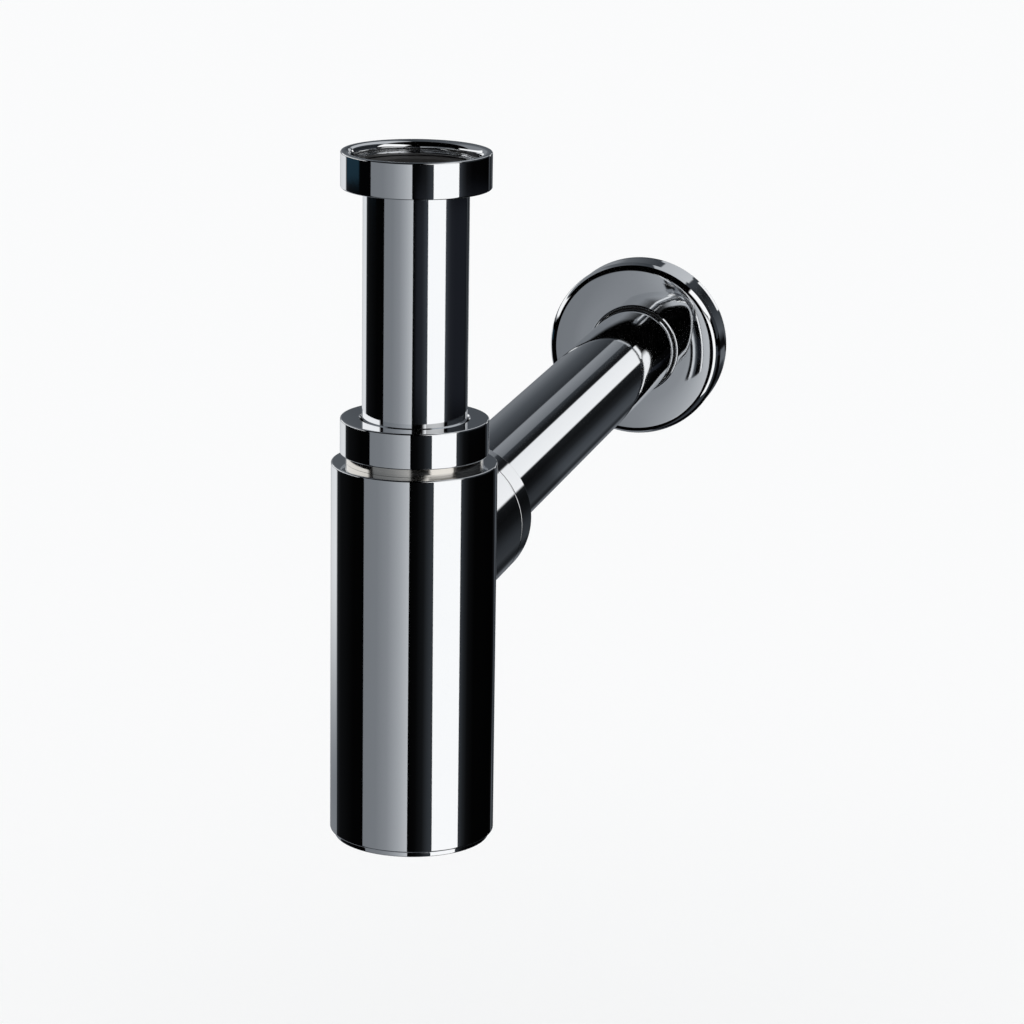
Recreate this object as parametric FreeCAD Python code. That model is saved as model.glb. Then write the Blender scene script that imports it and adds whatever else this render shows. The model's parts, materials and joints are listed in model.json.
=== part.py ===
import FreeCAD, Part
import math
import os

# Bottle trap for a wash basin, in millimetres, +Z up.
# The origin is the centre of the inlet nut's open top face, the inlet axis is Z
# and the outlet leaves along +Y.

# Tubes
tube_r = 16.0             # outside radius of both tubes
tube_wall = 1.0
inlet_run = 70.3          # inlet tube in view between its two nuts
outlet_run = 256.5        # outlet tube in view between its nut and the rosette
outlet_insert = 14.2      # how deep the outlet tube sits inside the boss
water_seal = 52.0         # how far the inlet tube dips below the outlet's lowest water level
wall_insert = 26.0        # outlet tube past the back of the rosette
spigot_length = 20.0      # drawn-in end that pushes into the drain seal in the wall
spigot_taper = 2.0        # length of the step down to that end
spigot_draw = 0.15        # how much smaller its radius is

# Clearances
tube_clearance = 0.4      # round a tube where it passes a nut, neck or rosette
fit_clearance = 0.05      # threads, seals and other close fits
stack_gap = 0.2           # between pieces stacked in a joint
seam_gap = 0.3            # shadow line between two outer pieces

# Pipe thread shared by the nuts and necks
neck_wall = 4.55          # from the tube's hole to the thread's crest
thread_depth = 1.48

# Inlet nut and what it clamps
inlet_nut_wall = 1.75     # outside the thread's crest
inlet_nut_height = 11.0
inlet_nut_lip = 2.0       # inner flange that pulls on the tube's collar
inlet_thread_length = 4.4
thread_relief = 0.7       # undercut below the thread, outside the thread's inner radius
mouth_chamfer = 0.3
collar_thickness = 1.6
washer_thickness = 2.6
washer_margin = 0.27      # washer and collar stand this much inside the thread

# Compression nuts, slip rings and cone seals
bottle_nut_wall = 1.65    # outside the thread's crest
bottle_nut_height = 11.0
outlet_nut_wall = 2.25
outlet_nut_height = 12.0
nut_lip = 2.2
nut_edge = 0.5            # rounding of the nuts' outer edges
lip_chamfer = 0.5         # lead-in round the tube
slip_ring_thickness = 1.2
seal_head = 1.4
seal_cone = 5.0
seal_tip = 0.6            # thickness of the cone's thin end
neck_rim = 1.35           # wall at the mouth of a neck, beside the seal

# Bottle
body_r = 25.3
body_wall = 1.5
body_height = 116.8
body_top_edge = 0.5
body_bottom_edge = 0.6
top_plate = 3.0
neck_show = 2.7           # neck in view between the bottle nut and the bottle
neck_shoulder = 1.95      # step from the neck down to its spigot
neck_spigot_past = 2.0    # spigot below the top plate
neck_ring_section = 0.6   # radius of the sealing ring's round section
outlet_drop = 30.0        # outlet axis below the bottle's top face
boss_reach = 44.2         # boss face from the inlet axis
boss_edge = 0.4

# Clean-out cap in the bottle's base
cap_setback = 1.4         # rim inside the bottle's side
cap_rim = 1.5             # height of the rim
cap_rim_width = 1.95      # rim outside the cap's thread
cap_edge = 0.3
cap_thread_length = 7.0
cap_skirt_wall = 2.5
cap_floor = 3.5
cap_slot_length = 26.0
cap_slot_width = 4.0
cap_slot_depth = 2.0
base_band = 9.0           # height of the thick band that holds the cap's thread
base_ring_section = 0.9
base_ring_step = 1.9      # depth of the step that the cap's sealing ring seats in

# Wall rosette
rosette_r = 33.2
rosette_depth = 17.0
rosette_wall = 1.0
rosette_flat = 4.1        # flat ring of the face round the tube's hole
rosette_curve = 72.0      # radius of the gentle curve from there to the edge
rosette_edge = 2.6        # rounding of the edge
rosette_bore_edge = 0.4
grip_ring_wall = 2.2
grip_ring_length = 4.5

# Levels and places worked out from the sizes above
tube_bore_r = tube_r - tube_wall
hole_r = tube_r + tube_clearance
thread_r = hole_r + neck_wall
inlet_nut_r = thread_r + inlet_nut_wall
bottle_nut_r = thread_r + bottle_nut_wall
outlet_nut_r = thread_r + outlet_nut_wall
boss_r = outlet_nut_r
neck_spigot_r = thread_r - neck_shoulder
cap_r = body_r - cap_setback
cap_thread_r = cap_r - cap_rim_width
seal_bore_r = tube_r + fit_clearance
nut_bore_r = thread_r + fit_clearance
thread_inner_r = thread_r - thread_depth
collar_r = thread_inner_r - washer_margin
collar_bottom = inlet_nut_lip + stack_gap - inlet_nut_height
collar_top = collar_bottom + collar_thickness
bottle_nut_top = -inlet_nut_height - inlet_run
body_top = bottle_nut_top - bottle_nut_height - neck_show
body_bottom = body_top - body_height
outlet_z = body_top - outlet_drop
inlet_tube_end = outlet_z - tube_bore_r - water_seal
outlet_nut_face = boss_reach + seam_gap + outlet_nut_height
rosette_front = outlet_nut_face + outlet_run
rosette_back = rosette_front + rosette_depth
outlet_tube_start = boss_reach - outlet_insert
outlet_tube_end = rosette_back + wall_insert
spigot_start = outlet_tube_end - spigot_length
seal_r = thread_r - neck_rim
seal_top = -nut_lip - stack_gap - slip_ring_thickness - stack_gap
cone_top = seal_top - seal_head
neck_mouth = cone_top - stack_gap
cap_top = body_bottom - seam_gap
cap_bottom = cap_top - cap_rim
base_ring_r = cap_thread_r - stack_gap / 2
step_r = base_ring_r + base_ring_section + stack_gap


def turned(outline):
    """Solid of revolution about Z from (radius, height) corners."""
    corners = [FreeCAD.Vector(radius, 0, height) for radius, height in outline]
    face = Part.Face(Part.makePolygon(corners + corners[:1]))
    return face.revolve(FreeCAD.Vector(0, 0, 0), FreeCAD.Vector(0, 0, 1), 360)


def ring(inner_r, outer_r, bottom, top):
    """Plain ring about Z."""
    return turned([(inner_r, bottom), (outer_r, bottom), (outer_r, top), (inner_r, top)])


def rim_edges(shape, radius, height):
    """Circular edges of one radius at one height."""
    found = []
    for edge in shape.Edges:
        if not isinstance(edge.Curve, Part.Circle):
            continue
        level = edge.Curve.Center.z
        if abs(edge.Curve.Radius - radius) < 1e-4 and abs(level - height) < 1e-4:
            found.append(edge)
    return found


def rounded(shape, radius, height, size):
    """Shape with one rim rounded off."""
    return shape.makeFillet(size, rim_edges(shape, radius, height))


def bevelled(shape, radius, height, size):
    """Shape with one rim chamfered."""
    return shape.makeChamfer(size, rim_edges(shape, radius, height))


def to_outlet(shape, reach):
    """Shape made along Z, turned to point along +Y on the outlet axis."""
    placed = shape.copy()
    placed.rotate(FreeCAD.Vector(0, 0, 0), FreeCAD.Vector(1, 0, 0), -90)
    placed.translate(FreeCAD.Vector(0, reach, outlet_z))
    return placed


def to_inlet(shape):
    """Shape made below height zero, lowered to the bottle nut's top."""
    placed = shape.copy()
    placed.translate(FreeCAD.Vector(0, 0, bottle_nut_top))
    return placed


# Pieces of a compression joint, with height zero at the nut's outer face

def compression_nut(radius, height):
    lip_bottom = -nut_lip
    nut = turned([
        (hole_r, 0), (radius, 0), (radius, -height),
        (nut_bore_r, -height), (nut_bore_r, lip_bottom), (hole_r, lip_bottom),
    ])
    nut = rounded(nut, radius, 0, nut_edge)
    nut = rounded(nut, radius, -height, nut_edge)
    return bevelled(nut, hole_r, 0, lip_chamfer)


def slip_ring():
    top = -nut_lip - stack_gap
    return ring(hole_r, nut_bore_r - tube_clearance, top - slip_ring_thickness, top)


def cone_seal():
    tip = cone_top - seal_cone
    return turned([
        (seal_bore_r, seal_top), (seal_r, seal_top), (seal_r, cone_top),
        (seal_bore_r + seal_tip, tip), (seal_bore_r, tip),
    ])


def cone_seat():
    """Cut for the seal in a neck's mouth: the seal's cone, stack_gap larger."""
    slope = (seal_r - seal_bore_r - seal_tip) / seal_cone
    wide_r = seal_r + stack_gap
    wide_top = cone_top + seal_head
    run_out = (wide_r - hole_r) / slope
    return turned([
        (0, wide_top), (wide_r, wide_top), (wide_r, cone_top),
        (hole_r, cone_top - run_out), (0, cone_top - run_out),
    ])


# Inlet

def inlet_nut():
    lip_top = inlet_nut_lip - inlet_nut_height
    relief_r = thread_inner_r + thread_relief
    nut = turned([
        (thread_inner_r, 0), (inlet_nut_r, 0), (inlet_nut_r, -inlet_nut_height),
        (hole_r, -inlet_nut_height), (hole_r, lip_top), (relief_r, lip_top),
        (relief_r, -inlet_thread_length), (thread_inner_r, -inlet_thread_length),
    ])
    nut = rounded(nut, inlet_nut_r, 0, nut_edge)
    nut = rounded(nut, inlet_nut_r, -inlet_nut_height, nut_edge)
    return bevelled(nut, thread_inner_r, 0, mouth_chamfer)


def inlet_washer():
    return ring(tube_bore_r, collar_r, collar_top, collar_top + washer_thickness)


def inlet_tube():
    return turned([
        (tube_bore_r, collar_top), (collar_r, collar_top), (collar_r, collar_bottom),
        (tube_r, collar_bottom), (tube_r, inlet_tube_end), (tube_bore_r, inlet_tube_end),
    ])


# Bottle

def neck_bush():
    """Threaded neck with a spigot through the bottle's top plate and a cone seat in its mouth."""
    mouth = bottle_nut_top + neck_mouth
    spigot_end = body_top - top_plate - neck_spigot_past
    bush = turned([
        (hole_r, mouth), (thread_r, mouth), (thread_r, body_top),
        (neck_spigot_r, body_top), (neck_spigot_r, spigot_end), (hole_r, spigot_end),
    ])
    return bush.cut(to_inlet(cone_seat()))


def neck_ring():
    """Round-section ring under the neck's shoulder."""
    centre = FreeCAD.Vector(0, 0, body_top - neck_ring_section - fit_clearance)
    major_r = neck_spigot_r + fit_clearance + neck_ring_section + fit_clearance
    return Part.makeTorus(major_r, neck_ring_section, centre)


def body_cavity():
    """Everything hollow on the bottle's own axis: neck hole, ring groove, chamber and cap seat."""
    neck_hole_r = neck_spigot_r + fit_clearance
    groove_r = neck_hole_r + 2 * (neck_ring_section + fit_clearance)
    groove_bottom = body_top - 2 * (neck_ring_section + fit_clearance)
    chamber_r = body_r - body_wall
    chamber_top = body_top - top_plate
    band_top = body_bottom + base_band
    thread_hole_r = cap_thread_r + fit_clearance
    step_top = body_bottom + base_ring_step
    return turned([
        (0, body_top), (groove_r, body_top), (groove_r, groove_bottom),
        (neck_hole_r, groove_bottom), (neck_hole_r, chamber_top), (chamber_r, chamber_top),
        (chamber_r, band_top), (thread_hole_r, band_top), (thread_hole_r, step_top),
        (step_r, step_top), (step_r, body_bottom), (0, body_bottom),
    ])


def bottle_body():
    """Turned bottle with its outlet boss and threaded outlet neck."""
    shell = Part.makeCylinder(body_r, body_height, FreeCAD.Vector(0, 0, body_bottom))
    shell = rounded(shell, body_r, body_top, body_top_edge)
    shell = rounded(shell, body_r, body_bottom, body_bottom_edge)
    boss = Part.makeCylinder(boss_r, boss_reach)
    boss = rounded(boss, boss_r, boss_reach, boss_edge)
    neck_end = outlet_nut_face + neck_mouth
    neck = Part.makeCylinder(thread_r, neck_end)
    bore = Part.makeCylinder(hole_r, neck_end)
    outside = shell.fuse(to_outlet(boss.fuse(neck), 0))
    hollow = outside.cut(body_cavity())
    hollow = hollow.cut(to_outlet(bore, 0))
    return hollow.cut(to_outlet(cone_seat(), outlet_nut_face)).removeSplitter()


# Outlet

def outlet_tube():
    """Straight tube whose wall end is drawn in a little to enter the drain seal."""
    length = outlet_tube_end - outlet_tube_start
    step_end = spigot_start - outlet_tube_start
    spigot_r = tube_r - spigot_draw
    tube = turned([
        (tube_bore_r, 0), (tube_r, 0), (tube_r, step_end - spigot_taper),
        (spigot_r, step_end), (spigot_r, length), (tube_bore_r, length),
    ])
    return to_outlet(tube, outlet_tube_start)


def rosette_sheet(start_r, inset):
    """One side of the rosette's sheet: flat ring, gentle curve, rounded edge and straight side.

    Both sides share their centres, so the sheet has the same wall all over.
    """
    flat_r = hole_r + rosette_flat
    edge_r = rosette_r - rosette_edge
    lean = math.asin((edge_r - flat_r) / (rosette_curve - rosette_edge))
    edge_h = rosette_curve - (rosette_curve - rosette_edge) * math.cos(lean)

    def on_curve(angle):
        size = rosette_curve - inset
        return FreeCAD.Vector(flat_r + size * math.sin(angle), 0, rosette_curve - size * math.cos(angle))

    def on_edge(angle):
        size = rosette_edge - inset
        return FreeCAD.Vector(edge_r + size * math.sin(angle), 0, edge_h - size * math.cos(angle))

    upright = math.pi / 2
    rim = FreeCAD.Vector(rosette_r - inset, 0, rosette_depth)
    return [
        Part.LineSegment(FreeCAD.Vector(start_r, 0, inset), on_curve(0)).toShape(),
        Part.Arc(on_curve(0), on_curve(lean / 2), on_curve(lean)).toShape(),
        Part.Arc(on_edge(lean), on_edge((lean + upright) / 2), on_edge(upright)).toShape(),
        Part.LineSegment(on_edge(upright), rim).toShape(),
    ]


def wall_rosette():
    """Deep cup whose face falls away to a rounded edge, with a drawn sleeve inside for the grip ring."""
    sleeve_r = seal_bore_r + grip_ring_wall + fit_clearance
    sleeve_end = rosette_wall + grip_ring_length
    corners = [
        (sleeve_r + rosette_wall, rosette_wall), (sleeve_r + rosette_wall, sleeve_end),
        (sleeve_r, sleeve_end), (sleeve_r, rosette_wall), (hole_r, rosette_wall), (hole_r, 0),
    ]
    sleeve = Part.makePolygon([FreeCAD.Vector(radius, 0, height) for radius, height in corners])
    back = [FreeCAD.Vector(rosette_r - inset, 0, rosette_depth) for inset in (0, rosette_wall)]
    edges = rosette_sheet(hole_r, 0) + rosette_sheet(sleeve_r + rosette_wall, rosette_wall)
    edges += [Part.LineSegment(*back).toShape()] + sleeve.Edges
    section = Part.Face(Part.Wire(Part.sortEdges(edges)[0]))
    cup = section.revolve(FreeCAD.Vector(0, 0, 0), FreeCAD.Vector(0, 0, 1), 360)
    cup = rounded(cup, hole_r, 0, rosette_bore_edge)
    return to_outlet(cup, rosette_front)


def rosette_grip_ring():
    grip = ring(seal_bore_r, seal_bore_r + grip_ring_wall, 0, grip_ring_length)
    return to_outlet(grip, rosette_front + rosette_wall)


# Clean-out

def base_cap():
    """Screw-in cap: rim, hollow threaded skirt, ring groove and a coin slot underneath."""
    skirt_top = cap_top + cap_thread_length
    skirt_bore_r = cap_thread_r - cap_skirt_wall
    groove_r = base_ring_r - base_ring_section - fit_clearance
    groove_top = cap_top + 2 * (base_ring_section + fit_clearance)
    cap = turned([
        (0, cap_bottom), (cap_r, cap_bottom), (cap_r, cap_top),
        (groove_r, cap_top), (groove_r, groove_top), (cap_thread_r, groove_top),
        (cap_thread_r, skirt_top), (skirt_bore_r, skirt_top),
        (skirt_bore_r, cap_bottom + cap_floor), (0, cap_bottom + cap_floor),
    ])
    cap = rounded(cap, cap_r, cap_bottom, cap_edge)
    corner = FreeCAD.Vector(-cap_slot_length / 2, -cap_slot_width / 2, cap_bottom)
    return cap.cut(Part.makeBox(cap_slot_length, cap_slot_width, cap_slot_depth, corner))


def base_ring():
    """Round-section ring in the cap's groove."""
    centre = FreeCAD.Vector(0, 0, cap_top + fit_clearance + base_ring_section)
    return Part.makeTorus(base_ring_r, base_ring_section, centre)


pieces = {
    "inlet_nut": inlet_nut(),
    "inlet_washer": inlet_washer(),
    "inlet_tube": inlet_tube(),
    "bottle_nut": to_inlet(compression_nut(bottle_nut_r, bottle_nut_height)),
    "inlet_slip_ring": to_inlet(slip_ring()),
    "inlet_seal": to_inlet(cone_seal()),
    "neck_bush": neck_bush(),
    "neck_ring": neck_ring(),
    "bottle_body": bottle_body(),
    "outlet_nut": to_outlet(compression_nut(outlet_nut_r, outlet_nut_height), outlet_nut_face),
    "outlet_slip_ring": to_outlet(slip_ring(), outlet_nut_face),
    "outlet_seal": to_outlet(cone_seal(), outlet_nut_face),
    "outlet_tube": outlet_tube(),
    "wall_rosette": wall_rosette(),
    "rosette_grip_ring": rosette_grip_ring(),
    "base_cap": base_cap(),
    "base_ring": base_ring(),
}

os.makedirs("parts", exist_ok=True)
for name, shape in pieces.items():
    shape.exportStep("parts/" + name + ".step")
    print(name, len(shape.Solids), shape.isValid(), round(shape.Volume, 1))
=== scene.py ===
import json
import math

import bmesh
import bpy
import numpy as np
from mathutils import Matrix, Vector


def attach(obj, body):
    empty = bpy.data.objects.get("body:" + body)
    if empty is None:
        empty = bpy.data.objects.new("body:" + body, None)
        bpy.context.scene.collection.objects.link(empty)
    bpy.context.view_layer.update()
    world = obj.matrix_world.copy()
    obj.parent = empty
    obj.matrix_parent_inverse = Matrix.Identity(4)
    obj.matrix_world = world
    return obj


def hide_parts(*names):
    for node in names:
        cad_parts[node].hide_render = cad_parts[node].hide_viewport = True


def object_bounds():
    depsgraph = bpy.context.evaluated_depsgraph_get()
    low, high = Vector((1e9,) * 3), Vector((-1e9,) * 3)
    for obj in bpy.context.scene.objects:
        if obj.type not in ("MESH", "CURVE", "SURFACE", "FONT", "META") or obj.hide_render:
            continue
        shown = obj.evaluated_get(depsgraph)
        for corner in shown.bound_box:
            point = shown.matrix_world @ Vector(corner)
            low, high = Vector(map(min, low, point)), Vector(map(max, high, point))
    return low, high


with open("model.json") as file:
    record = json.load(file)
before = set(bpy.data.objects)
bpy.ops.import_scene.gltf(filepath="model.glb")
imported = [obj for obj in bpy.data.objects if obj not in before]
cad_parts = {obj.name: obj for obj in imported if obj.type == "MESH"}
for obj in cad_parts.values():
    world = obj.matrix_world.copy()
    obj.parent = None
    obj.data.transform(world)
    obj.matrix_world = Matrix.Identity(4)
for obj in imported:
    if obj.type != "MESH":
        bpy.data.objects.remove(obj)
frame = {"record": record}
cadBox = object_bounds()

# Chrome bottle trap: turned pieces, a bottle with its outlet boss, screw threads,
# polished metal, and a studio of soft panels round it. Profiles are in millimetres.

mm = 0.001
fullTurn = 2 * math.pi
quarter = math.pi / 2
scene = bpy.context.scene
record = frame["record"]
bodyOf = {node: body for body, nodes in record["behaviour"]["bodies"].items() for node in nodes}

axes = dict(outletHeight=-125.0, bottleNutTop=-81.3, outletNutFace=56.5, rosetteFace=313.0,
            tubeStart=30.0)
# of a thread's form, flat is the share of the pitch at its smallest radius, level the part of
# its depth that lies inside the profile's radius, and start the share of a turn it begins at
pipeThread = dict(pitch=2.309, depth=1.33, level=1.0, flat=0.1, start=0.0, mouthGap=0.36)
capThread = dict(pitch=1.5, depth=0.85, level=1.0, flat=0.1, start=0.0)


# profiles

def cornerArc(before, corner, after, radius, steps=7, support=0.045, room=0.3):
    # arc that touches both edges of a corner, with one more point on each edge close to its ends:
    # as far off as support says, or a share of the room that is left
    a, p, b = (np.asarray(q[:2], float) for q in (before, corner, after))
    toA, toB = a - p, b - p
    lengthA, lengthB = np.hypot(*toA), np.hypot(*toB)
    toA, toB = toA / lengthA, toB / lengthB
    half = 0.5 * math.acos(np.clip(toA @ toB, -1.0, 1.0))
    reach = radius / math.tan(half)
    bisector = (toA + toB) / np.hypot(*(toA + toB))
    centre = p + bisector * radius / math.sin(half)
    start = p + toA * reach - centre
    sweep = (math.pi - 2 * half) * np.sign(toA[1] * toB[0] - toA[0] * toB[1])
    turn = np.linspace(0.0, sweep, steps + 1)
    arc = centre + np.stack([start[0] * np.cos(turn) - start[1] * np.sin(turn),
                             start[0] * np.sin(turn) + start[1] * np.cos(turn)], 1)
    extraA = min(support, room * max(lengthA - reach, 0.0))
    extraB = min(support, room * max(lengthB - reach, 0.0))
    return np.vstack([p + toA * (reach + extraA), arc, p + toB * (reach + extraB)])


def roundedProfile(corners, closed=True):
    # closed or open line through (radius, height, rounding) corners, each corner an arc
    count = len(corners)
    inner = range(count) if closed else range(1, count - 1)
    arcs = [cornerArc(corners[i - 1], corners[i], corners[(i + 1) % count], corners[i][2])
            for i in inner]
    if not closed:
        arcs = [np.array([corners[0][:2]])] + arcs + [np.array([corners[-1][:2]])]
    line = np.vstack(arcs)
    return np.column_stack([line, np.zeros(len(line))])


def ringProfile(bore, radius, first, last, edge):
    # section of a plain ring with all its edges rounded alike
    return roundedProfile([(bore, first, edge), (radius, first, edge),
                           (radius, last, edge), (bore, last, edge)])


def smooth(share):
    return share * share * (3 - 2 * share)


def withThread(profile, radius, low, high, pitch, perTurn=14, runOut=0.55, close=1e-6):
    # puts rows on the straight edge of that radius from low to high; the third column
    # is the thread's strength, which runs out over a share of the pitch at both ends
    after = np.roll(profile, -1, 0)
    onRadius = np.abs(profile[:, 0] - radius) < close
    straight = onRadius & np.roll(onRadius, -1)
    bottom = np.minimum(profile[:, 1], after[:, 1])
    top = np.maximum(profile[:, 1], after[:, 1])
    i = int(np.flatnonzero(straight & (bottom <= low) & (top >= high))[0])
    rows = np.linspace(low, high, int((high - low) / pitch * perTurn) + 1)
    strength = np.clip(np.minimum(rows - low, high - rows) / (runOut * pitch), 0.0, 1.0)
    block = np.column_stack([np.full(len(rows), profile[i, 0]), rows, smooth(strength)])
    if profile[i, 1] > after[i, 1]:
        block = block[::-1]
    return np.vstack([profile[:i + 1], block, profile[i + 1:]])


def threadWave(phase, flat, crest=0.9):
    # rounded V form from 0 to 1; flat is the share of the pitch that stays at 0
    tri = np.abs(2 * (phase - np.floor(phase)) - 1)
    return smooth(np.clip((tri - flat) / (crest - flat), 0.0, 1.0))


# surfaces

def turnedGrid(profile, angles, thread=None):
    # each profile point goes round the axis: x = r cos a, y = r sin a, z = h;
    # a thread adds strength * depth * (wave(h / pitch - a / 2 pi + start) - level) to r
    r, h, strength = (profile[:, k:k + 1] for k in range(3))
    a = angles[None, :]
    if thread:
        phase = h / thread["pitch"] - a / fullTurn + thread["start"]
        wave = threadWave(phase, thread["flat"])
        r = r + strength * thread["depth"] * (wave - thread["level"])
    return np.stack([r * np.cos(a), r * np.sin(a), h + 0 * a], 2)


def gridPatch(points, wrapRows=False, wrapCols=True):
    # a grid of points with quads between neighbours, closed in either direction when asked
    rows, cols = points.shape[:2]
    i = np.arange(rows if wrapRows else rows - 1)[:, None]
    j = np.arange(cols if wrapCols else cols - 1)[None, :]
    i2, j2 = (i + 1) % rows, (j + 1) % cols
    faces = np.stack([i * cols + j, i2 * cols + j, i2 * cols + j2, i * cols + j2], 2)
    return points, faces.reshape(-1, 4)


def toOutlet(points, reach):
    # a shape made along z, laid along +Y on the outlet's axis
    x, y, z = points[..., 0], points[..., 1], points[..., 2]
    return np.stack([x, z + reach, axes["outletHeight"] - y], -1)


def meshPiece(name, patches, sharp=40.0, weld=1e-6):
    # joins patches of (points, faces) in millimetres into one closed mesh, faces outwards
    starts = np.cumsum([0] + [p.reshape(-1, 3).shape[0] for p, f in patches])
    points = np.vstack([p.reshape(-1, 3) for p, f in patches]) * mm
    faces = np.vstack([f + s for (p, f), s in zip(patches, starts)])
    mesh = bpy.data.meshes.new(name)
    mesh.from_pydata(points, [], faces)
    work = bmesh.new()
    work.from_mesh(mesh)
    bmesh.ops.remove_doubles(work, verts=work.verts, dist=weld)
    bmesh.ops.recalc_face_normals(work, faces=work.faces)
    work.to_mesh(mesh)
    work.free()
    mesh.polygons.foreach_set("use_smooth", np.ones(len(mesh.polygons), bool))
    mesh.set_sharp_from_angle(angle=math.radians(sharp))
    piece = bpy.data.objects.new(name, mesh)
    scene.collection.objects.link(piece)
    return piece


def settle(piece, node, material):
    # the piece stands for its CAD node and rides on the same body
    piece.data.materials.append(material)
    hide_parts(node)
    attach(piece, bodyOf[node])
    print("piece", piece.name, "for", node, len(piece.data.polygons), "faces")


def turnedPiece(name, node, material, profile, segments=256, lift=0.0, reach=None, thread=None):
    # a closed profile turned about the inlet's axis, or about the outlet's when reach is given
    angles = np.linspace(0.0, fullTurn, segments, endpoint=False)
    points = turnedGrid(profile, angles, thread)
    points = points + np.array([0.0, 0.0, lift]) if reach is None else toOutlet(points, reach)
    settle(meshPiece(name, [gridPatch(points, wrapRows=True)]), node, material)


# materials: shared effects are node groups that give out masks, values and normals

def feed(tree, value, socket):
    # links a socket, or sets a plain number or colour
    if isinstance(value, bpy.types.NodeSocket):
        tree.links.new(value, socket)
    else:
        socket.default_value = value


def calc(tree, operation, *values):
    node = tree.nodes.new("ShaderNodeMath")
    node.operation = operation
    for value, socket in zip(values, node.inputs):
        feed(tree, value, socket)
    return node.outputs[0]


def mixColour(tree, share, first, second, blend="MIX"):
    # inputs 6 and 7 and output 2 are the Mix node's colours
    node = tree.nodes.new("ShaderNodeMix")
    node.data_type, node.blend_type = "RGBA", blend
    feed(tree, share, node.inputs["Factor"])
    feed(tree, first, node.inputs[6])
    feed(tree, second, node.inputs[7])
    return node.outputs[2]


def noiseAt(tree, vector, scale, detail):
    node = tree.nodes.new("ShaderNodeTexNoise")
    for label, value in dict(Vector=vector, Scale=scale, Detail=detail).items():
        feed(tree, value, node.inputs[label])
    return node.outputs["Fac"]


def bumpOf(tree, strength, height, distance):
    node = tree.nodes.new("ShaderNodeBump")
    for label, value in dict(Strength=strength, Height=height, Distance=distance).items():
        feed(tree, value, node.inputs[label])
    return node.outputs["Normal"]


def effectGroup(name, inputs, outputs):
    # an empty group with float or vector inputs and the named outputs
    group = bpy.data.node_groups.new(name, "ShaderNodeTree")
    for label, value in inputs.items():
        kind = "NodeSocketFloat" if isinstance(value, float) else "NodeSocketVector"
        socket = group.interface.new_socket(label, in_out="INPUT", socket_type=kind)
        socket.default_value = value
    for label, kind in outputs.items():
        group.interface.new_socket(label, in_out="OUTPUT", socket_type=kind)
    given = group.nodes.new("NodeGroupInput").outputs
    result = group.nodes.new("NodeGroupOutput").inputs
    return group, given, result


polishForm = dict(lineScale=14.0, patchDetail=2.0, lineDetail=3.0, patchShare=0.6, lineShare=0.4,
                  waveHeight=0.0001, leastRough=0.005)
mouldForm = dict(grainDetail=4.0, slowScale=0.08, slowDetail=2.0, grainHeight=0.0002)


def polishGroup():
    # polished metal: patches of slightly different polish, wiping lines and a trace of waviness
    form = polishForm
    group, given, result = effectGroup(
        "polish",
        dict(Scale=60.0, Stretch=(1.0, 1.0, 1.0), Rough=0.04, Spread=0.03, Wave=0.02),
        dict(Mask="NodeSocketFloat", Roughness="NodeSocketFloat", Normal="NodeSocketVector"))
    place = group.nodes.new("ShaderNodeTexCoord").outputs["Object"]
    stretched = group.nodes.new("ShaderNodeVectorMath")
    stretched.operation = "MULTIPLY"
    group.links.new(place, stretched.inputs[0])
    group.links.new(given["Stretch"], stretched.inputs[1])
    lineScale = calc(group, "MULTIPLY", given["Scale"], form["lineScale"])
    patches = noiseAt(group, place, given["Scale"], form["patchDetail"])
    lines = noiseAt(group, stretched.outputs[0], lineScale, form["lineDetail"])
    mask = calc(group, "ADD", calc(group, "MULTIPLY", patches, form["patchShare"]),
                calc(group, "MULTIPLY", lines, form["lineShare"]))
    change = calc(group, "MULTIPLY", calc(group, "SUBTRACT", mask, 0.5), given["Spread"])
    rough = calc(group, "ADD", given["Rough"], change)
    group.links.new(mask, result["Mask"])
    group.links.new(calc(group, "MAXIMUM", rough, form["leastRough"]), result["Roughness"])
    group.links.new(bumpOf(group, given["Wave"], mask, form["waveHeight"]), result["Normal"])
    return group


def mouldGroup():
    # moulded rubber and plastic: a fine grain and slow patches of tone
    form = mouldForm
    group, given, result = effectGroup(
        "mouldGrain", dict(Scale=900.0, Depth=0.2),
        dict(Mask="NodeSocketFloat", Normal="NodeSocketVector"))
    place = group.nodes.new("ShaderNodeTexCoord").outputs["Object"]
    slowScale = calc(group, "MULTIPLY", given["Scale"], form["slowScale"])
    grain = noiseAt(group, place, given["Scale"], form["grainDetail"])
    slow = noiseAt(group, place, slowScale, form["slowDetail"])
    mask = calc(group, "MULTIPLY", calc(group, "ADD", grain, slow), 0.5)
    group.links.new(mask, result["Mask"])
    group.links.new(bumpOf(group, given["Depth"], grain, form["grainHeight"]), result["Normal"])
    return group


polish, mouldGrain = polishGroup(), mouldGroup()


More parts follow.
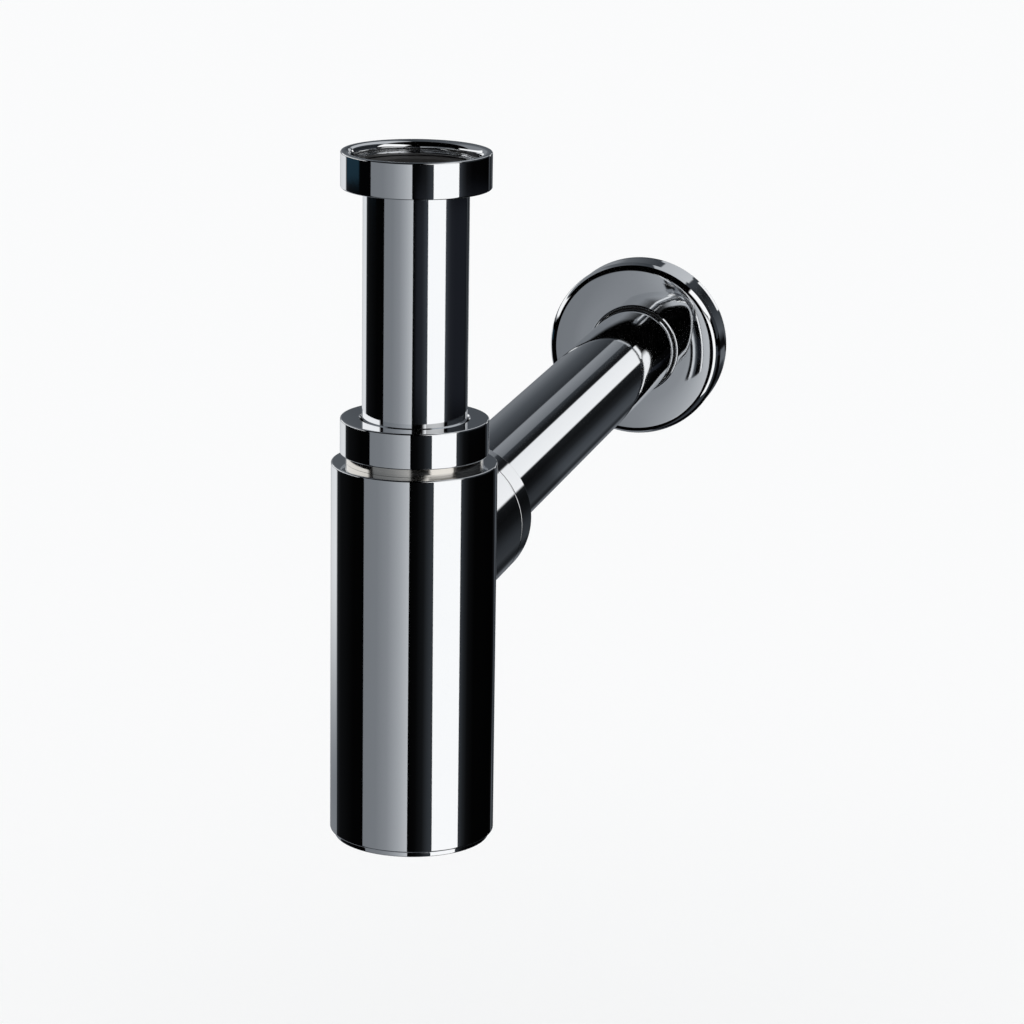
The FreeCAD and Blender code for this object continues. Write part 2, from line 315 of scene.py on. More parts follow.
def surface(name, group, settings, tones, metallic, rough=None):
    # a Principled surface whose colour runs between two tones with the group's mask
    material = bpy.data.materials.new(name)
    material.use_nodes = True
    tree = material.node_tree
    shader = tree.nodes["Principled BSDF"]
    effect = tree.nodes.new("ShaderNodeGroup")
    effect.node_tree = group
    for label, value in settings.items():
        effect.inputs[label].default_value = value
    dark, light = tones
    colour = mixColour(tree, effect.outputs["Mask"], (*dark, 1.0), (*light, 1.0))
    tree.links.new(colour, shader.inputs["Base Color"])
    tree.links.new(effect.outputs["Normal"], shader.inputs["Normal"])
    shader.inputs["Metallic"].default_value = metallic
    if rough is None:
        tree.links.new(effect.outputs["Roughness"], shader.inputs["Roughness"])
    else:
        low, high = rough
        value = calc(tree, "MULTIPLY_ADD", effect.outputs["Mask"], high - low, low)
        tree.links.new(value, shader.inputs["Roughness"])
    return material


tubeTones = (0.84, 0.855, 0.872), (0.872, 0.882, 0.894)
chrome = surface(
    "chrome", polish, dict(Scale=55.0, Rough=0.035, Spread=0.03, Wave=0.012),
    ((0.845, 0.858, 0.872), (0.875, 0.884, 0.894)), metallic=1.0)
inletChrome = surface(
    "inletTubeChrome", polish,
    dict(Scale=55.0, Stretch=(1.0, 1.0, 0.02), Rough=0.05, Spread=0.04, Wave=0.02),
    tubeTones, metallic=1.0)
outletChrome = surface(
    "outletTubeChrome", polish,
    dict(Scale=55.0, Stretch=(1.0, 0.02, 1.0), Rough=0.04, Spread=0.04, Wave=0.02),
    tubeTones, metallic=1.0)
nickel = surface(
    "nickel", polish,
    dict(Scale=80.0, Stretch=(0.3, 0.3, 1.0), Rough=0.13, Spread=0.08, Wave=0.03),
    ((0.69, 0.66, 0.61), (0.75, 0.72, 0.67)), metallic=1.0)
rubber = surface(
    "rubber", mouldGrain, dict(Scale=900.0, Depth=0.25),
    ((0.02, 0.02, 0.021), (0.045, 0.044, 0.043)), metallic=0.0, rough=(0.5, 0.75))
nylon = surface(
    "nylon", mouldGrain, dict(Scale=700.0, Depth=0.12),
    ((0.78, 0.755, 0.69), (0.86, 0.845, 0.79)), metallic=0.0, rough=(0.36, 0.52))
print("materials made")


# inlet: union nut with its thread, washer, tube with a collar

inletNut = dict(radius=22.7, height=11.0, edge=0.5, minor=19.47, relief=20.17, lip=2.0, hole=16.4,
                holeEdge=0.2, reliefEdge=0.1, mouth=2.2, threadEnd=4.4, threadEdge=0.08,
                threadGaps=(0.15, 0.1), perTurn=32, runOut=0.3,
                thread=dict(pitch=pipeThread["pitch"], depth=1.0, level=0.0, flat=0.42, start=0.68))


def inletNutPiece():
    n = inletNut
    lipTop = n["lip"] - n["height"]
    profile = roundedProfile([
        (n["minor"], 0, n["mouth"]), (n["radius"], 0, n["edge"]),
        (n["radius"], -n["height"], n["edge"]), (n["hole"], -n["height"], n["holeEdge"]),
        (n["hole"], lipTop, n["holeEdge"]), (n["relief"], lipTop, n["reliefEdge"]),
        (n["relief"], -n["threadEnd"], n["threadEdge"]),
        (n["minor"], -n["threadEnd"], n["threadEdge"])])
    lowGap, highGap = n["threadGaps"]
    profile = withThread(profile, n["minor"], lowGap - n["threadEnd"], -highGap - n["mouth"],
                         n["thread"]["pitch"], n["perTurn"], n["runOut"])
    turnedPiece("inletNut", "inlet_nut", chrome, profile, segments=288, thread=n["thread"])


inletNutPiece()

inletTube = dict(radius=16.0, bore=15.0, collar=19.2, collarTop=-7.2, collarLow=-8.8, end=-192.0,
                 edge=0.3, collarFoot=0.1)
t = inletTube
turnedPiece("inletTube", "inlet_tube", inletChrome, roundedProfile([
    (t["bore"], t["collarTop"], t["edge"]), (t["collar"], t["collarTop"], t["edge"]),
    (t["collar"], t["collarLow"], t["edge"]), (t["radius"], t["collarLow"], t["collarFoot"]),
    (t["radius"], t["end"], t["edge"]), (t["bore"], t["end"], t["edge"])]))

inletWasher = dict(bore=15.0, radius=19.2, first=-4.6, last=-7.2, edge=0.35)
turnedPiece("inletWasher", "inlet_washer", rubber, ringProfile(**inletWasher))


# compression joints: nut, slip ring and cone seal, the same on both tubes

joint = dict(hole=16.4, bore=21.03, lip=2.2, edge=0.5, fine=0.12, leadIn=0.5, threadTop=5.5,
             threadGap=0.4, nutSegments=288, ringSegments=192,
             ring=dict(bore=16.4, radius=20.6, first=-2.4, last=-3.6, edge=0.2),
             seal=dict(bore=16.05, radius=19.6, top=-3.8, cone=-5.2, tip=0.6, low=-10.2, edge=0.15))
sides = dict(inlet=dict(lift=axes["bottleNutTop"], reach=None),
             outlet=dict(lift=0.0, reach=axes["outletNutFace"]))
nutSizes = dict(bottleNut=dict(node="bottle_nut", side="inlet", radius=22.6, height=11.0),
                outletNut=dict(node="outlet_nut", side="outlet", radius=23.2, height=12.0))


def jointNut(name, node, side, radius, height):
    s, fine = joint, joint["fine"]
    profile = roundedProfile([
        (s["hole"] + s["leadIn"], 0, fine), (radius, 0, s["edge"]), (radius, -height, s["edge"]),
        (s["bore"], -height, fine), (s["bore"], -s["lip"], fine), (s["hole"], -s["lip"], fine),
        (s["hole"], -s["leadIn"], fine)])
    profile = withThread(profile, s["bore"], -height + s["threadGap"], -s["threadTop"],
                         pipeThread["pitch"])
    turnedPiece(name, node, chrome, profile, s["nutSegments"], thread=pipeThread, **sides[side])


def coneSeal(side):
    s = joint["seal"]
    profile = roundedProfile([
        (s["bore"], s["top"], s["edge"]), (s["radius"], s["top"], s["edge"]),
        (s["radius"], s["cone"], s["edge"]), (s["bore"] + s["tip"], s["low"], s["edge"]),
        (s["bore"], s["low"], s["edge"])])
    turnedPiece(side + "Seal", side + "_seal", rubber, profile, joint["ringSegments"],
                **sides[side])


for name, size in nutSizes.items():
    jointNut(name, **size)
for side, place in sides.items():
    turnedPiece(side + "SlipRing", side + "_slip_ring", nylon, ringProfile(**joint["ring"]),
                joint["ringSegments"], **place)
for side in sides:
    coneSeal(side)


# neck of the bottle, and the round sealing rings

neckBush = dict(radius=20.95, hole=16.4, mouth=-5.4, mouthBore=19.68, seatLow=-10.963,
                shoulder=-13.7, spigot=19.0, spigotLow=-18.7, threadLow=-10.6, edge=0.3,
                mouthEdge=0.1, shoulderEdge=0.06, seatEdge=0.2)
b = neckBush
profile = roundedProfile([
    (b["mouthBore"], b["mouth"], b["mouthEdge"]), (b["radius"], b["mouth"], b["edge"]),
    (b["radius"], b["shoulder"], b["shoulderEdge"]),
    (b["spigot"], b["shoulder"], b["shoulderEdge"]), (b["spigot"], b["spigotLow"], b["edge"]),
    (b["hole"], b["spigotLow"], b["edge"]), (b["hole"], b["seatLow"], b["seatEdge"])])
profile = withThread(profile, b["radius"], b["threadLow"], b["mouth"] - pipeThread["mouthGap"],
                     pipeThread["pitch"])
turnedPiece("neckBush", "neck_bush", nickel, profile, segments=288, lift=axes["bottleNutTop"],
            thread=pipeThread)

roundRings = dict(neckRing=dict(node="neck_ring", major=19.7, minor=0.6, height=-95.65),
                  baseRing=dict(node="base_ring", major=21.85, minor=0.9, height=-211.15))


def roundRing(name, node, major, minor, height, segments=192, section=24):
    # a circle of the minor radius carried round a circle of the major radius
    turn = np.linspace(0.0, fullTurn, section, endpoint=False)
    profile = np.column_stack([major + minor * np.cos(turn), height + minor * np.sin(turn),
                               0 * turn])
    turnedPiece(name, node, rubber, profile, segments)


for name, size in roundRings.items():
    roundRing(name, **size)


# bottle: turned shell, outlet boss and threaded outlet neck as one closed surface

bottle = dict(radius=25.3, inside=23.8, top=-95.0, bottom=-211.8, topEdge=0.5, bottomEdge=0.6,
              neckHole=19.05, neckEdge=0.2, groove=20.35, grooveLow=-96.3, grooveEdge=0.12,
              grooveFoot=0.1, ceiling=-98.0, ceilingEdge=0.6, capHole=22.0, capSeat=-202.8,
              capSeatEdge=0.2, insideEdge=0.3, step=22.95, stepTop=-209.9, stepEdge=0.15,
              stepFoot=0.1, threadGaps=(0.2, 0.25), perTurn=10, outerBand=27.0, innerBand=23.0,
              segments=288, sideRows=32, halfSpan=64)
boss = dict(radius=23.2, face=44.2, edge=0.4, root=30.0, neck=20.95, neckFoot=0.08, neckEdge=0.3,
            mouth=51.1, mouthBore=19.68, mouthEdge=0.1, seatEnd=45.537, seatEdge=0.2, bore=16.4,
            threadStart=45.6)


def bandWithHole(radius, holeRadius, halfHeight):
    # part of a cylinder with a round hole on +Y: a plain grid over the front, and over the back
    # rings that blend in (angle, height) from a rectangle's outline to the hole's outline
    seg, rows, span = bottle["segments"], bottle["sideRows"], bottle["halfSpan"]
    columns = 2 * span
    centre = axes["outletHeight"]
    step = fullTurn / seg
    firstAngle, lastAngle = quarter - span * step, quarter + span * step
    low, high = centre - halfHeight, centre + halfHeight
    side = np.linspace(low, high, rows + 1)
    over = np.linspace(firstAngle, lastAngle, columns + 1)
    rectAngle = np.concatenate([np.full(rows, firstAngle), over[:-1],
                                np.full(rows, lastAngle), over[:0:-1]])
    rectHeight = np.concatenate([side[:-1], np.full(columns, high),
                                 side[:0:-1], np.full(columns, low)])
    upSide, across = np.arange(rows) / rows, np.arange(columns) / columns
    around = quarter * np.concatenate([upSide - 0.5, across + 0.5, upSide + 1.5, across + 2.5])
    holeAngle = np.arccos(holeRadius * np.cos(around) / radius)
    holeHeight = centre + holeRadius * np.sin(around)
    blend = np.concatenate([np.linspace(0.0, 0.96, 13), [0.99, 1.0]])[:, None]
    angle = (1 - blend) * rectAngle + blend * holeAngle
    height = (1 - blend) * rectHeight + blend * holeHeight
    patch = np.stack([radius * np.cos(angle), radius * np.sin(angle), height], 2)
    frontAngle, frontHeight = np.meshgrid(lastAngle + step * np.arange(seg - columns + 1), side)
    front = np.stack([radius * np.cos(frontAngle), radius * np.sin(frontAngle), frontHeight], 2)
    return [gridPatch(patch), gridPatch(front, wrapCols=False)], around


def bossStack(around):
    # rings about the outlet's axis: boss side, rounded edge, face, threaded neck, mouth, seat
    # and bore; the first and last ring lie on the bottle's outer and inner walls
    s = boss
    profile = roundedProfile([
        (s["radius"], s["root"], 0), (s["radius"], s["face"], s["edge"]),
        (s["neck"], s["face"], s["neckFoot"]), (s["neck"], s["mouth"], s["neckEdge"]),
        (s["mouthBore"], s["mouth"], s["mouthEdge"]), (s["bore"], s["seatEnd"], s["seatEdge"]),
        (s["bore"], s["root"], 0)], closed=False)
    profile = withThread(profile, s["neck"], s["threadStart"],
                         s["mouth"] - pipeThread["mouthGap"], pipeThread["pitch"])
    r, y, strength = (profile[1:-1, k:k + 1] for k in range(3))
    phase = (y - axes["outletNutFace"]) / pipeThread["pitch"] + around / fullTurn
    wave = threadWave(phase, pipeThread["flat"])
    r = r + strength * pipeThread["depth"] * (wave - pipeThread["level"])
    y = y + 0 * around
    outer = np.sqrt(bottle["radius"] ** 2 - (s["radius"] * np.cos(around)) ** 2)
    inner = np.sqrt(bottle["inside"] ** 2 - (s["bore"] * np.cos(around)) ** 2)
    steps = np.array([0.0, 0.004, 0.02, 0.25, 0.5, 0.75])[:, None]
    outerRows = outer + steps * (y[0] - outer)
    innerRows = inner + steps[::-1] * (y[-1] - inner)
    reach = np.vstack([outerRows, y, innerRows])
    radius = np.vstack([np.full_like(outerRows, s["radius"]), r,
                        np.full_like(innerRows, s["bore"])])
    return gridPatch(np.stack([radius * np.cos(around), reach,
                               axes["outletHeight"] + radius * np.sin(around)], 2))


def exactNormals(mesh, close=2e-3, bossBack=5.0):
    # vertices on the bottle's and the boss's cylinders get the cylinder's own normal
    count = len(mesh.vertices)
    co = np.empty(count * 3, np.float32)
    normal = np.empty(count * 3, np.float32)
    mesh.vertices.foreach_get("co", co)
    mesh.vertex_normals.foreach_get("vector", normal)
    co, normal = co.reshape(-1, 3).astype(float) / mm, normal.reshape(-1, 3).astype(float)
    x, y, z = co.T
    up = z - axes["outletHeight"]
    bodyR, bossR = np.hypot(x, y), np.hypot(x, up)
    onBody = np.abs(bodyR - bottle["radius"]) < close
    onBody &= z < bottle["top"] - bottle["topEdge"]
    onBody &= z > bottle["bottom"] + bottle["bottomEdge"]
    onBoss = np.abs(bossR - boss["radius"]) < close
    onBoss &= (y > bossBack) & (y < boss["face"] - boss["edge"])
    body, side = onBody & ~onBoss, onBoss & ~onBody
    normal[body] = np.column_stack([x, y, 0 * x])[body] / bodyR[body, None]
    normal[side] = np.column_stack([x, 0 * x, up])[side] / bossR[side, None]
    mesh.normals_split_custom_set_from_vertices(normal)


def bottlePiece():
    s, z = bottle, axes["outletHeight"]
    step = fullTurn / s["segments"]
    angles = quarter + step * (np.arange(s["segments"]) - s["halfSpan"])
    outerBand, around = bandWithHole(s["radius"], boss["radius"], s["outerBand"])
    innerBand, around = bandWithHole(s["inside"], boss["bore"], s["innerBand"])
    upper = roundedProfile([
        (s["radius"], z + s["outerBand"], 0), (s["radius"], s["top"], s["topEdge"]),
        (s["groove"], s["top"], s["grooveEdge"]), (s["groove"], s["grooveLow"], s["grooveFoot"]),
        (s["neckHole"], s["grooveLow"], s["grooveFoot"]),
        (s["neckHole"], s["ceiling"], s["neckEdge"]),
        (s["inside"], s["ceiling"], s["ceilingEdge"]), (s["inside"], z + s["innerBand"], 0)],
        closed=False)
    lower = roundedProfile([
        (s["radius"], z - s["outerBand"], 0), (s["radius"], s["bottom"], s["bottomEdge"]),
        (s["step"], s["bottom"], s["stepEdge"]), (s["step"], s["stepTop"], s["stepFoot"]),
        (s["capHole"], s["stepTop"], s["stepEdge"]), (s["capHole"], s["capSeat"], s["capSeatEdge"]),
        (s["inside"], s["capSeat"], s["insideEdge"]), (s["inside"], z - s["innerBand"], 0)],
        closed=False)
    lowGap, highGap = s["threadGaps"]
    lower = withThread(lower, s["capHole"], s["stepTop"] + lowGap, s["capSeat"] - highGap,
                       capThread["pitch"], s["perTurn"])
    patches = outerBand + innerBand + [bossStack(around), gridPatch(turnedGrid(upper, angles)),
                                       gridPatch(turnedGrid(lower, angles, capThread))]
    piece = meshPiece("bottleBody", patches)
    exactNormals(piece.data)
    settle(piece, "bottle_body", chrome)


bottlePiece()


# clean-out cap with its coin slot

baseCap = dict(radius=23.9, bottom=-213.6, edge=0.3, rimTop=-212.1, rimEdge=0.2, groove=20.9,
               grooveTop=-210.2, grooveFoot=0.1, skirt=21.92, skirtTop=-205.1, skirtFoot=0.15,
               skirtBore=19.45, floorTop=-210.1, floorEdge=0.6, threadGaps=(0.2, 0.4),
               slotLength=26.0, slotWidth=4.0, slotDepth=2.0, slotRing=16.5, slotLip=0.25,
               slotFoot=0.06, slotInset=0.03, segments=256, endSteps=12)


def slotOutline(halfLength, halfWidth):
    # a rectangle's outline from its right end round, with as many points as the cap has segments
    ends = baseCap["endSteps"]
    longSteps = baseCap["segments"] // 2 - ends
    across = np.linspace(-halfWidth, halfWidth, ends + 1)
    along = np.linspace(halfLength, -halfLength, longSteps + 1)
    x = np.concatenate([np.full(ends, halfLength), along[:-1],
                        np.full(ends, -halfLength), along[:0:-1]])
    y = np.concatenate([across[:-1], np.full(longSteps, halfWidth),
                        across[:0:-1], np.full(longSteps, -halfWidth)])
    return np.roll(np.stack([x, y], 1), -(ends // 2), 0)


def capPiece():
    # turned outside and inside, and outlines from a circle into the slot down to its floor
    s = baseCap
    angles = np.linspace(0.0, fullTurn, s["segments"], endpoint=False)
    profile = roundedProfile([
        (s["slotRing"], s["bottom"], 0), (s["radius"], s["bottom"], s["edge"]),
        (s["radius"], s["rimTop"], s["rimEdge"]), (s["groove"], s["rimTop"], s["grooveFoot"]),
        (s["groove"], s["grooveTop"], s["grooveFoot"]),
        (s["skirt"], s["grooveTop"], s["skirtFoot"]), (s["skirt"], s["skirtTop"], s["edge"]),
        (s["skirtBore"], s["skirtTop"], s["edge"]),
        (s["skirtBore"], s["floorTop"], s["floorEdge"]), (0.0, s["floorTop"], 0)], closed=False)
    lowGap, highGap = s["threadGaps"]
    profile = withThread(profile, s["skirt"], s["grooveTop"] + lowGap, s["skirtTop"] - highGap,
                         capThread["pitch"])
    circle = s["slotRing"] * np.stack([np.cos(angles), np.sin(angles)], 1)
    length, width = s["slotLength"] / 2, s["slotWidth"] / 2
    lip = slotOutline(length + s["slotLip"], width + s["slotLip"])
    wall = slotOutline(length, width)
    spine = np.stack([np.clip(wall[:, 0], width - length, length - width), 0 * wall[:, 1]], 1)
    inset = (1 - s["slotInset"]) * wall + s["slotInset"] * spine
    blend = np.concatenate([np.linspace(0.0, 0.97, 8), [1.0]])[:, None, None]
    face = (1 - blend) * circle + blend * lip
    layers = np.concatenate([face, np.stack([wall, wall, wall, inset, spine])])
    floor = s["bottom"] + s["slotDepth"]
    heights = np.array([s["bottom"]] * len(face)
                       + [s["bottom"] + s["slotLip"], floor - s["slotFoot"], floor, floor, floor])
    heights = np.broadcast_to(heights[:, None, None], (*layers.shape[:2], 1))
    patches = [gridPatch(turnedGrid(profile, angles, capThread)),
               gridPatch(np.concatenate([layers, heights], 2))]
    settle(meshPiece("baseCap", patches), "base_cap", chrome)


capPiece()


# outlet: tube, rosette and its grip ring

outletTube = dict(radius=16.0, bore=15.0, length=326.0, taperStart=304.0, taperEnd=306.0,
                  taperEdge=4.0, spigot=15.85, edge=0.3, endEdge=0.35)
t = outletTube
turnedPiece("outletTube", "outlet_tube", outletChrome, roundedProfile([
    (t["bore"], 0, t["edge"]), (t["radius"], 0, t["edge"]),
    (t["radius"], t["taperStart"], t["taperEdge"]), (t["spigot"], t["taperEnd"], t["taperEdge"]),
    (t["spigot"], t["length"], t["endEdge"]), (t["bore"], t["length"], t["endEdge"])]),
    segments=288, reach=axes["tubeStart"])

rosette = dict(hole=16.4, radius=33.2, depth=17.0, wall=1.0, sideWall=0.52, flat=20.5, curve=72.0,
               lipWide=1.1, lipDeep=0.9, lipSupport=0.05, edge=3.4, edgeEnd=78.0, shoulderEdge=0.3,
               taper=1.6, taperEnd=13.4, taperEdge=20.0, back=0.5, rimEdge=0.2, inside=1.95,
               insideEdge=1.5, domeEdge=3.0, sleeve=18.3, sleeveEnd=5.5, sleeveEdge=0.35,
               sleeveFoot=0.3, seatEdge=0.1, lipPoints=13, facePoints=21, edgePoints=19)


def rosetteProfile():
    # a quarter ellipse for the lip round the tube, a wide arc for the face and a tight one for
    # its edge, then a side that narrows a little and runs straight to the wall, and the cup
    r = rosette
    edgeR = r["radius"] - r["edge"]
    lean = math.asin((edgeR - r["flat"]) / (r["curve"] - r["edge"]))
    edgeH = r["curve"] - (r["curve"] - r["edge"]) * math.cos(lean)
    u = np.linspace(0.0, quarter, r["lipPoints"])
    lip = np.column_stack([r["hole"] + r["lipWide"] * (1 - np.cos(u)),
                           r["lipDeep"] * (1 - np.sin(u))])
    a = np.linspace(0.0, lean, r["facePoints"])
    face = np.column_stack([r["flat"] + r["curve"] * np.sin(a), r["curve"] * (1 - np.cos(a))])
    last, fall = math.radians(r["edgeEnd"]), math.tan(math.radians(r["taper"]))
    e = np.linspace(lean, last, r["edgePoints"])[1:]
    edge = np.column_stack([edgeR + r["edge"] * np.sin(e), edgeH - r["edge"] * np.cos(e)])
    run = (r["radius"] - edge[-1, 0]) / (math.cos(last) + fall * math.sin(last))
    shoulder = edge[-1] + run * np.array([math.cos(last), math.sin(last)])
    waist = shoulder[0] - (r["taperEnd"] - shoulder[1]) * fall
    inside = waist - r["sideWall"]
    sleeve = r["sleeve"] + r["wall"]
    rest = roundedProfile([
        (*edge[-1], 0), (*shoulder, r["shoulderEdge"]), (waist, r["taperEnd"], r["taperEdge"]),
        (waist, r["depth"], r["back"]), (inside, r["depth"], r["rimEdge"]),
        (inside, r["inside"], r["insideEdge"]), (r["flat"], r["wall"], r["domeEdge"]),
        (sleeve, r["wall"], r["sleeveFoot"]), (sleeve, r["sleeveEnd"], r["sleeveEdge"]),
        (r["sleeve"], r["sleeveEnd"], r["sleeveEdge"]), (r["sleeve"], r["wall"], r["seatEdge"]),
        (r["hole"], r["wall"], 0)], closed=False)[1:]
    front = np.vstack([lip, [[lip[-1, 0] + r["lipSupport"], 0.0]], face, edge])
    return np.vstack([np.column_stack([front, np.zeros(len(front))]), rest])


turnedPiece("wallRosette", "wall_rosette", chrome, rosetteProfile(), segments=320,
            reach=axes["rosetteFace"])

gripRing = dict(bore=16.05, radius=18.25, first=1.0, last=5.5, edge=0.3)
turnedPiece("rosetteGripRing", "rosette_grip_ring", rubber, ringProfile(**gripRing), segments=192,
            reach=axes["rosetteFace"])


# camera at the photograph's view

photoView = dict(azimuth=15.403, distance=1.137735, height=0.185478, pan=-1.503, pitch=14.587,
                 roll=0.816, lens=135.74, sensor=36.0)


def photoCamera():
    v = photoView
    az, yaw = math.radians(v["azimuth"]), math.radians(v["azimuth"] + v["pan"])
    pitch, roll = math.radians(v["pitch"]), math.radians(v["roll"])
    place = np.array([math.sin(az) * v["distance"], -math.cos(az) * v["distance"], v["height"]])
    look = np.array([-math.sin(yaw) * math.cos(pitch), math.cos(yaw) * math.cos(pitch),
                     -math.sin(pitch)])
    level = np.array([math.cos(yaw), math.sin(yaw), 0.0])
    upright = np.cross(level, look)
    right = math.cos(roll) * level + math.sin(roll) * upright
    up = -math.sin(roll) * level + math.cos(roll) * upright
    data = bpy.data.cameras.new("photoCamera")
    data.lens, data.sensor_width, data.sensor_fit = v["lens"], v["sensor"], "HORIZONTAL"
    camera = bpy.data.objects.new("photoCamera", data)
    rows = [[right[i], up[i], -look[i], place[i]] for i in range(3)]
    camera.matrix_world = Matrix(rows + [[0, 0, 0, 1]])
    scene.collection.objects.link(camera)
    scene.camera = camera


photoCamera()
print("camera set")


# studio: white to the eye and to matt surfaces, and soft panels in the dark for the chrome

floorSheet = dict(drop=0.16, half=12.0, colour=(0.96, 0.965, 0.97, 1.0))

# brightness on the chrome (0 to 255) by an angle of the mirrored ray in degrees
panels = dict(
    chromeShare=0.87,
    # by the azimuth, 0 towards the camera
    around=[(-180, 116), (-164, 205), (-139, 218), (-134.8, 205), (-132.8, 35), (-122, 14),
            (-92, 3), (-60, 2), (-4, 3), (4, 6), (14, 20), (25, 52), (67, 58), (75, 32), (82, 12),
            (94, 3), (140, 2), (150, 12), (162, 70), (180, 110)],
    # by the angle round the outlet's axis, for rays that run on along the outlet
    behind=[(-180, 112), (-130, 112), (-102, 95), (-92, 45), (-84, 42), (-70, 71), (-50, 64),
            (-27, 30), (-12, 19), (6.5, 28), (9, 236), (49, 230), (51, 22), (60, 24), (72, 56),
            (74.5, 108), (100, 136), (102.5, 46), (140, 77), (180, 112)],
    # the same for the rosette's side and edge: walls, a long gap and a ceiling panel
    beside=[(-180, 125), (-140, 128), (-112, 60), (-97, 22), (-77, 50), (-70, 96), (-56, 94),
            (-52, 13), (-42, 13), (-28, 80), (3, 55), (33, 28), (53, 56), (61.3, 58), (62.7, 186),
            (110, 173), (111.5, 62), (118, 58), (165, 92), (180, 125)],
    # above this angle the last one is drawn together, most for rays across the outlet
    besideSqueeze=dict(above=47.0, share=0.62, curve=1.09))

# parts of the studio by turn (azimuth), height, roll (angle round the outlet's axis) and
# along (share of the ray along the outlet): low, high and softness, or just low and high of a fade
areas = dict(
    horizon=dict(height=(-6.5, -4.0)),
    dim=dict(turn=(-134.0, -131.0), height=(-18.9, -15.0), level=120),
    cool=dict(turn=(-131.0, -97.0, 2.0), height=(-9.72, -4.0, 0.06),
              colour=(0.012, 0.03, 0.046, 1.0)),
    haze=dict(turn=(0.0, 140.0, 5.0), height=(-13.1, -9.9, 0.3),
              colour=(0.011, 0.0125, 0.017, 1.0)),
    strip=dict(low=20.0, bend=14.0, soft=1.0, roll=(48.5, 50.5), along=(-0.84, -0.74), level=250),
    back=dict(along=(0.9, 0.93), ceilingAlong=(0.0, 0.05), ceilingUp=(0.0, 0.03)),
    rim=dict(turn=(-157.0, -82.0, 3.0), height=(3.5, 17.0, 1.5), level=245),
    far=dict(roll=(4.5, 52.0, 1.0), along=(0.9585, 0.967, 0.0015), level=238),
    tube=dict(along=(0.934, 0.9585, 0.001)),
    near=dict(roll=(-100.0, 3.0, 5.0), along=(0.93, 0.9445, 0.0008), share=0.45))

# cards near the trap, left and right of the camera: azimuth of the middle, distance, lower and
# upper height, how far the foot's ends stand further round, where the top fades, and the
# brightness by the azimuth at which an upright cylinder of that radius mirrors it
cards = dict(
    greyCard=dict(middle=-40.0, away=0.42, low=-0.75, high=0.13, cylinder=0.022, sway=(0.0, 0.0),
                  topFade=(0.86, 1.0),
                  grey=[(-72.9, 116), (-52, 119), (-36, 132), (-20, 158), (-6.4, 183)]),
    keyCard=dict(middle=46.0, away=0.7, low=-0.87, high=0.16, cylinder=0.022, sway=(7.4, 2.0),
                 topFade=(0.86, 1.0), grey=[(24.0, 249), (66.9, 249)]))

black, white = (0.0, 0.0, 0.0, 1.0), (1.0, 1.0, 1.0, 1.0)
coolCast = dict(shift=np.array([-4.0, 0.0, 5.0]), fullAt=60, fall=4)


def shownGrey(level):
    # what a panel gives out so that the chrome shows it at that brightness in sRGB,
    # with a faint cool cast in the greys
    cast = coolCast["shift"] * min(1.0, level / coolCast["fullAt"])
    cast = cast * (1 - (level / 255) ** coolCast["fall"])
    shown = np.clip((level + cast) / 255, 0, 1)
    linear = np.where(shown <= 0.04045, shown / 12.92, ((shown + 0.055) / 1.055) ** 2.4)
    return (*(linear / panels["chromeShare"]), 1.0)


def rampOf(tree, place, stops):
    # colour ramp over a place from 0 to 1 whose stops are (place, brightness)
    ramp = tree.nodes.new("ShaderNodeValToRGB")
    elements = ramp.color_ramp.elements
    while len(elements) < len(stops):
        elements.new(0.5)
    for element, (position, level) in zip(elements, stops):
        element.position = position
        element.color = shownGrey(level)
    tree.links.new(place, ramp.inputs["Fac"])
    return ramp.outputs["Color"]


def angleRamp(tree, angle, stops):
    # the same over an angle in radians, with stops in degrees from -180 to 180
    place = calc(tree, "MULTIPLY_ADD", angle, 1 / fullTurn, 0.5)
    return rampOf(tree, place, [((degrees + 180) / 360, level) for degrees, level in stops])


def fadeIn(tree, value, low, high):
    # 0 below low, 1 above high, smooth between
    node = tree.nodes.new("ShaderNodeMapRange")
    node.interpolation_type = "SMOOTHSTEP"
    tree.links.new(value, node.inputs["Value"])
    node.inputs["From Min"].default_value, node.inputs["From Max"].default_value = low, high
    return node.outputs["Result"]


def fadeOut(tree, value, low, high):
    return calc(tree, "SUBTRACT", 1.0, fadeIn(tree, value, low, high))


def window(tree, value, low, high, soft):
    # 1 between low and high, with soft edges
    return calc(tree, "MULTIPLY", fadeIn(tree, value, low - soft, low + soft),
                fadeOut(tree, value, high - soft, high + soft))


def bothWindows(tree, places, area, first, second):
    return calc(tree, "MULTIPLY", window(tree, places[first], *area[first]),
                window(tree, places[second], *area[second]))


def heading(degrees):
    # level direction at an azimuth, 0 towards the camera
    az, turn = math.radians(photoView["azimuth"]), math.radians(degrees)
    front, right = np.array([math.sin(az), -math.cos(az)]), np.array([math.cos(az), math.sin(az)])
    return math.cos(turn) * front + math.sin(turn) * right


